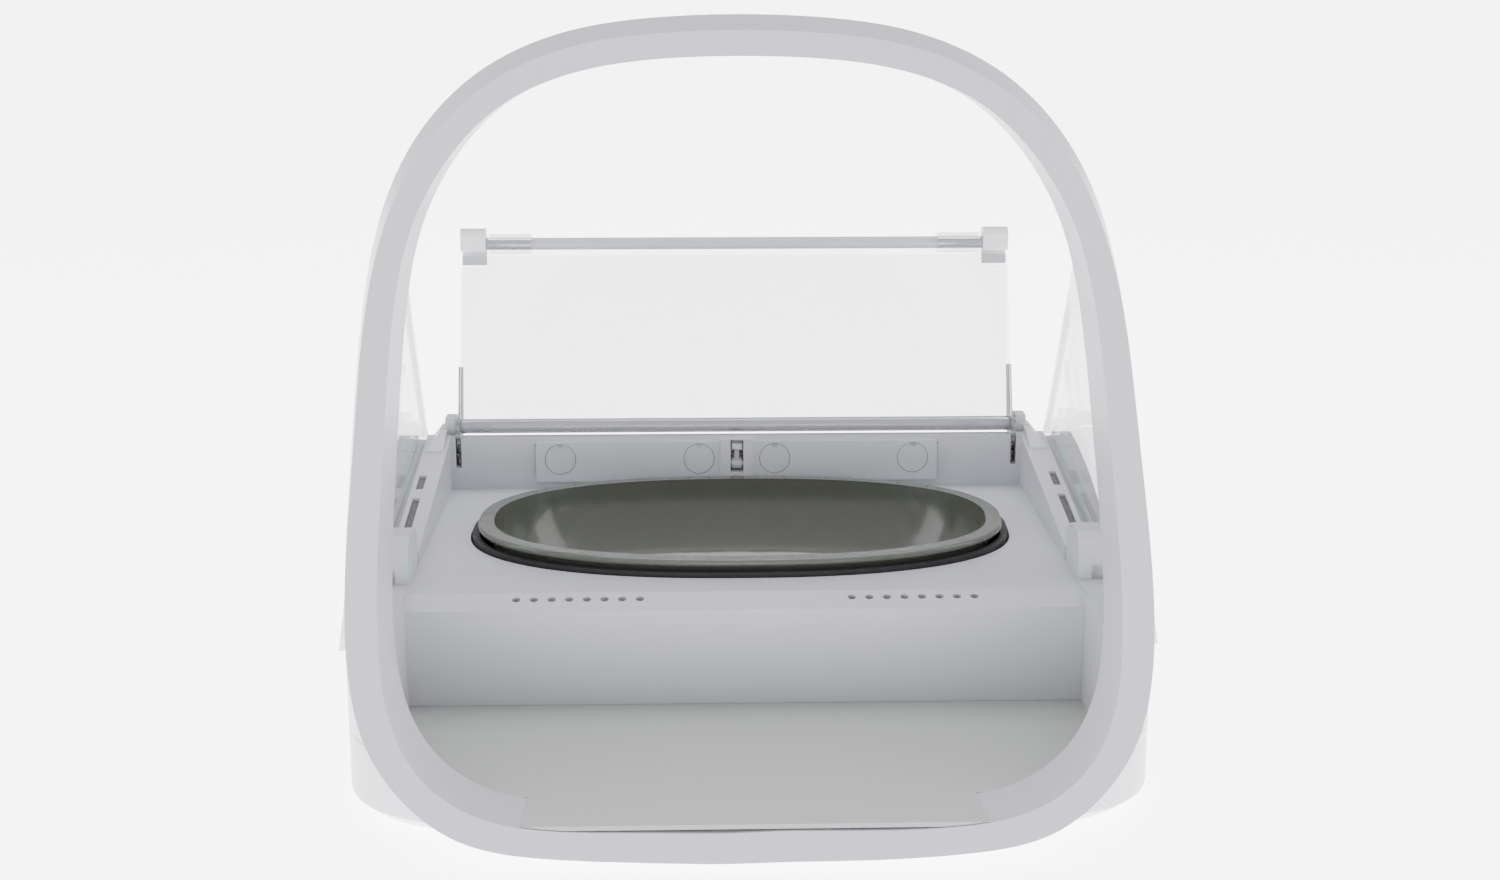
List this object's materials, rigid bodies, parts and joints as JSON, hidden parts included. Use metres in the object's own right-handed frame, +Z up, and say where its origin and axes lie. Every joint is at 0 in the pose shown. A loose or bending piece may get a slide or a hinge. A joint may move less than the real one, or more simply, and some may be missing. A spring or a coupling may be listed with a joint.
{
  "type": "pet feeder",
  "caption": "Low white pet feeder with a leaning reading hoop, an oval bowl in a soft mat, clear side shields and a clear folding motorised lid.",
  "frame": {"origin": "middle of the footprint, on the surface the feet stand on", "axes": "+Y from the hoop's toe to the rear, +Z up, +X to the right seen from the front"},
  "size_m": [0.2302, 0.3181, 0.2021],
  "materials": {
    "white_shell": "satin",
    "hoop_white": "satin",
    "tray_floor": "fine matt",
    "cover_white": "satin",
    "clear_shield": "clear polycarbonate",
    "clear_lid": "clear polycarbonate",
    "fold_grey": "satin",
    "knob_white": "satin",
    "arm_grey": "satin",
    "sensor_dark": "gloss",
    "bowl_grey": "gloss",
    "mat_dark": "matt",
    "button_grey": "satin",
    "door_white": "fine matt",
    "gear_white": "natural",
    "steel": "ground",
    "gearbox_black": "matt",
    "motor_can": "plated",
    "cell_wrap": "gloss film",
    "contact_nickel": "nickel",
    "board_green": "solder resist",
    "switch_black": "matt",
    "coil_copper": "enamelled",
    "foot_rubber": "matt"
  },
  "bodies": {
    "base": {"hoop_front_bezel": "hoop_white", "hoop_rear_shell": "hoop_white", "antenna_coil": "coil_copper", "lower_shell": "white_shell", "upper_shell": "white_shell", "tray_floor": "tray_floor", "ledge_left": "white_shell", "ledge_right": "white_shell", "sensor_window_left": "sensor_dark", "sensor_window_right": "sensor_dark", "front_boss_left": "white_shell", "front_boss_right": "white_shell", "side_shield_left": "clear_shield", "side_shield_right": "clear_shield", "hinge_block_left": "white_shell", "hinge_block_right": "white_shell", "drive_cover": "cover_white", "screw_plugs": "cover_white", "catch_pin": "steel", "gearbox_housing": "gearbox_black", "drive_motor": "motor_can", "shaft_bearing_left": "gearbox_black", "shaft_bearing_right": "gearbox_black", "motor_bracket": "gearbox_black", "cell_left_1": "cell_wrap", "cell_left_2": "cell_wrap", "cell_right_1": "cell_wrap", "cell_right_2": "cell_wrap", "battery_contacts_left": "contact_nickel", "battery_contacts_right": "contact_nickel", "control_panel": "white_shell", "tact_switches": "switch_black", "switch_board": "board_green", "main_board": "board_green", "casing_screws": "steel", "rubber_feet": "foot_rubber"},
    "mat": {"bowl_mat": "mat_dark"},
    "bowl": {"bowl": "bowl_grey"},
    "lid_rear": {"lid_rear_panel": "clear_lid", "fold_rod": "fold_grey", "fold_knob_left": "knob_white", "fold_knob_right": "knob_white", "lid_arm_left": "arm_grey", "lid_arm_right": "arm_grey", "lid_shaft": "steel"},
    "lid_front": {"lid_front_panel": "clear_lid"},
    "cross_drive": {"cross_shaft": "steel", "cross_gear": "gear_white", "pinion_left": "gear_white", "pinion_right": "gear_white"},
    "output_drive": {"output_gear": "gear_white", "output_shaft": "steel"},
    "catch": {"catch_lever": "knob_white"},
    "training_button": {"training_button": "button_grey"},
    "pairing_button": {"pairing_button": "button_grey"},
    "lid_button": {"lid_button": "button_grey"},
    "battery_door_left": {"battery_door_left": "door_white"},
    "battery_door_right": {"battery_door_right": "door_white"}
  },
  "joints": [
    {"name": "mat_lift", "type": "slide", "parent": "base", "child": "mat", "axis": [0, 0, 1], "range_m": [0, 0.045]},
    {"name": "bowl_lift", "type": "slide", "parent": "mat", "child": "bowl", "axis": [0, 0, 1], "range_m": [0, 0.05]},
    {"name": "lid_lift", "type": "hinge", "parent": "base", "child": "lid_rear", "pos_m": [0, 0.0635, 0.062], "axis": [-1, 0, 0], "range_deg": [-112.18, 0]},
    {"name": "lid_fold", "type": "hinge", "parent": "lid_rear", "child": "lid_front", "pos_m": [0, 0.0806, 0.1224], "axis": [-1, 0, 0], "range_deg": [0, 173.6]},
    {"name": "cross_shaft_spin", "type": "hinge", "parent": "base", "child": "cross_drive", "pos_m": [0, 0.06603, 0.05012], "axis": [-1, 0, 0], "range_deg": [0, 226]},
    {"name": "output_gear_spin", "type": "hinge", "parent": "base", "child": "output_drive", "pos_m": [0, 0.0727, 0.03855], "axis": [-1, 0, 0], "range_deg": [-113.2, 0]},
    {"name": "catch_tilt", "type": "hinge", "parent": "base", "child": "catch", "pos_m": [0, 0.0574, 0.05], "axis": [-1, 0, 0], "range_deg": [0, 5], "stiffness_Nm_per_rad": 0.02},
    {"name": "training_button_press", "type": "slide", "parent": "base", "child": "training_button", "axis": [0, -1, 0], "range_m": [0, 0.0012], "stiffness_N_per_m": 600},
    {"name": "pairing_button_press", "type": "slide", "parent": "base", "child": "pairing_button", "axis": [0, -1, 0], "range_m": [0, 0.0012], "stiffness_N_per_m": 600},
    {"name": "lid_button_press", "type": "slide", "parent": "base", "child": "lid_button", "axis": [0, -1, 0], "range_m": [0, 0.0012], "stiffness_N_per_m": 600},
    {"name": "battery_door_left_slide", "type": "slide", "parent": "base", "child": "battery_door_left", "axis": [0, -1, 0], "range_m": [0, 0.014]},
    {"name": "battery_door_right_slide", "type": "slide", "parent": "base", "child": "battery_door_right", "axis": [0, -1, 0], "range_m": [0, 0.014]}
  ],
  "couplings": [
    {"joint": "lid_fold", "follows": "lid_lift", "ratio": -1.5464},
    {"joint": "cross_shaft_spin", "follows": "lid_lift", "ratio": -2},
    {"joint": "output_gear_spin", "follows": "lid_lift", "ratio": 1}
  ]
}
